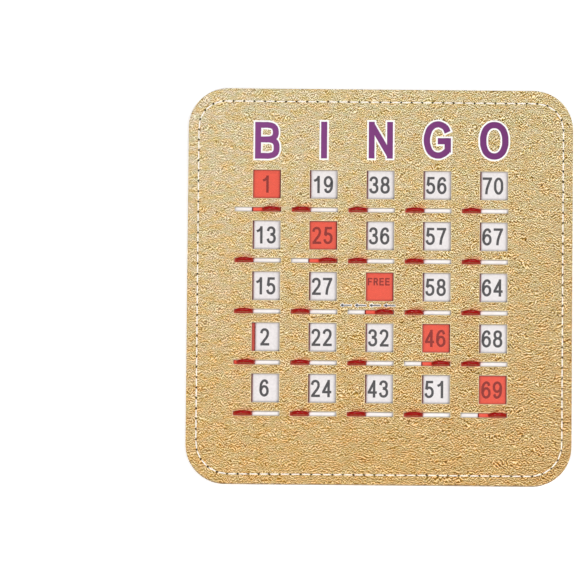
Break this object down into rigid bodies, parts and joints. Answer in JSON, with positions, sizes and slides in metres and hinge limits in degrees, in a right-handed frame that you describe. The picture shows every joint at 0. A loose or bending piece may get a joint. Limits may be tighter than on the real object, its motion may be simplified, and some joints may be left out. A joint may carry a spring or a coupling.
{
  "type": "bingo card",
  "caption": "Flat stitched leatherette game card with rows of number windows, see-through sliding shutters with finger tabs, and a hidden slide that opens all the shutters at once.",
  "frame": {"origin": "middle of the back face, which lies on the table", "axes": "+Z out of the face, +Y towards the heading letters, +X along the rows to the right as read"},
  "size_m": [0.183, 0.1906, 0.0076],
  "materials": {
    "leatherette": "pebbled tan leatherette with fine wrinkles",
    "board": "grey-brown pressed board",
    "printed_paper": "white card with black figures",
    "thread": "twisted white thread",
    "white_plastic": "white plastic sheet",
    "red_film": "see-through red plastic"
  },
  "bodies": {
    "card": {"front_cover": "leatherette", "front_board": "board", "shutter_guide": "board", "slide_frame": "board", "number_sheet": "printed_paper", "back_board": "board", "back_cover": "leatherette", "front_stitching": "thread", "back_stitching": "thread"},
    "clear_slide": {"clear_slide": "white_plastic", "free_shutter": "red_film"},
    "shutter_b1": {"shutter_b1": "red_film"},
    "shutter_b2": {"shutter_b2": "red_film"},
    "shutter_b3": {"shutter_b3": "red_film"},
    "shutter_b4": {"shutter_b4": "red_film"},
    "shutter_b5": {"shutter_b5": "red_film"},
    "shutter_i1": {"shutter_i1": "red_film"},
    "shutter_i2": {"shutter_i2": "red_film"},
    "shutter_i3": {"shutter_i3": "red_film"},
    "shutter_i4": {"shutter_i4": "red_film"},
    "shutter_i5": {"shutter_i5": "red_film"},
    "shutter_n1": {"shutter_n1": "red_film"},
    "shutter_n2": {"shutter_n2": "red_film"},
    "shutter_n4": {"shutter_n4": "red_film"},
    "shutter_n5": {"shutter_n5": "red_film"},
    "shutter_g1": {"shutter_g1": "red_film"},
    "shutter_g2": {"shutter_g2": "red_film"},
    "shutter_g3": {"shutter_g3": "red_film"},
    "shutter_g4": {"shutter_g4": "red_film"},
    "shutter_g5": {"shutter_g5": "red_film"},
    "shutter_o1": {"shutter_o1": "red_film"},
    "shutter_o2": {"shutter_o2": "red_film"},
    "shutter_o3": {"shutter_o3": "red_film"},
    "shutter_o4": {"shutter_o4": "red_film"},
    "shutter_o5": {"shutter_o5": "red_film"}
  },
  "joints": [
    {"name": "clear_slide_travel", "type": "slide", "parent": "card", "child": "clear_slide", "axis": [1, 0, 0], "range_m": [-0.0126, 0]},
    {"name": "shutter_b1_travel", "type": "slide", "parent": "card", "child": "shutter_b1", "axis": [1, 0, 0], "range_m": [-0.0126, 0]},
    {"name": "shutter_b2_travel", "type": "slide", "parent": "card", "child": "shutter_b2", "axis": [1, 0, 0], "range_m": [0, 0.0126]},
    {"name": "shutter_b3_travel", "type": "slide", "parent": "card", "child": "shutter_b3", "axis": [1, 0, 0], "range_m": [0, 0.0126]},
    {"name": "shutter_b4_travel", "type": "slide", "parent": "card", "child": "shutter_b4", "axis": [1, 0, 0], "range_m": [-0.0011, 0.0115]},
    {"name": "shutter_b5_travel", "type": "slide", "parent": "card", "child": "shutter_b5", "axis": [1, 0, 0], "range_m": [0, 0.0126]},
    {"name": "shutter_i1_travel", "type": "slide", "parent": "card", "child": "shutter_i1", "axis": [1, 0, 0], "range_m": [0, 0.0126]},
    {"name": "shutter_i2_travel", "type": "slide", "parent": "card", "child": "shutter_i2", "axis": [1, 0, 0], "range_m": [-0.0126, 0]},
    {"name": "shutter_i3_travel", "type": "slide", "parent": "card", "child": "shutter_i3", "axis": [1, 0, 0], "range_m": [0, 0.0126]},
    {"name": "shutter_i4_travel", "type": "slide", "parent": "card", "child": "shutter_i4", "axis": [1, 0, 0], "range_m": [0, 0.0126]},
    {"name": "shutter_i5_travel", "type": "slide", "parent": "card", "child": "shutter_i5", "axis": [1, 0, 0], "range_m": [0, 0.0126]},
    {"name": "shutter_n1_travel", "type": "slide", "parent": "card", "child": "shutter_n1", "axis": [1, 0, 0], "range_m": [0, 0.0126]},
    {"name": "shutter_n2_travel", "type": "slide", "parent": "card", "child": "shutter_n2", "axis": [1, 0, 0], "range_m": [0, 0.0126]},
    {"name": "shutter_n4_travel", "type": "slide", "parent": "card", "child": "shutter_n4", "axis": [1, 0, 0], "range_m": [0, 0.0126]},
    {"name": "shutter_n5_travel", "type": "slide", "parent": "card", "child": "shutter_n5", "axis": [1, 0, 0], "range_m": [0, 0.0126]},
    {"name": "shutter_g1_travel", "type": "slide", "parent": "card", "child": "shutter_g1", "axis": [1, 0, 0], "range_m": [0, 0.0126]},
    {"name": "shutter_g2_travel", "type": "slide", "parent": "card", "child": "shutter_g2", "axis": [1, 0, 0], "range_m": [0, 0.0126]},
    {"name": "shutter_g3_travel", "type": "slide", "parent": "card", "child": "shutter_g3", "axis": [1, 0, 0], "range_m": [0, 0.0126]},
    {"name": "shutter_g4_travel", "type": "slide", "parent": "card", "child": "shutter_g4", "axis": [1, 0, 0], "range_m": [-0.0126, 0]},
    {"name": "shutter_g5_travel", "type": "slide", "parent": "card", "child": "shutter_g5", "axis": [1, 0, 0], "range_m": [0, 0.0126]},
    {"name": "shutter_o1_travel", "type": "slide", "parent": "card", "child": "shutter_o1", "axis": [1, 0, 0], "range_m": [0, 0.0126]},
    {"name": "shutter_o2_travel", "type": "slide", "parent": "card", "child": "shutter_o2", "axis": [1, 0, 0], "range_m": [0, 0.0126]},
    {"name": "shutter_o3_travel", "type": "slide", "parent": "card", "child": "shutter_o3", "axis": [1, 0, 0], "range_m": [0, 0.0126]},
    {"name": "shutter_o4_travel", "type": "slide", "parent": "card", "child": "shutter_o4", "axis": [1, 0, 0], "range_m": [0, 0.0126]},
    {"name": "shutter_o5_travel", "type": "slide", "parent": "card", "child": "shutter_o5", "axis": [1, 0, 0], "range_m": [-0.0126, 0]}
  ],
  "couplings": [
    {"joint": "shutter_b1_travel", "follows": "clear_slide_travel", "ratio": 1},
    {"joint": "shutter_i2_travel", "follows": "clear_slide_travel", "ratio": 1},
    {"joint": "shutter_g4_travel", "follows": "clear_slide_travel", "ratio": 1},
    {"joint": "shutter_o5_travel", "follows": "clear_slide_travel", "ratio": 1}
  ]
}
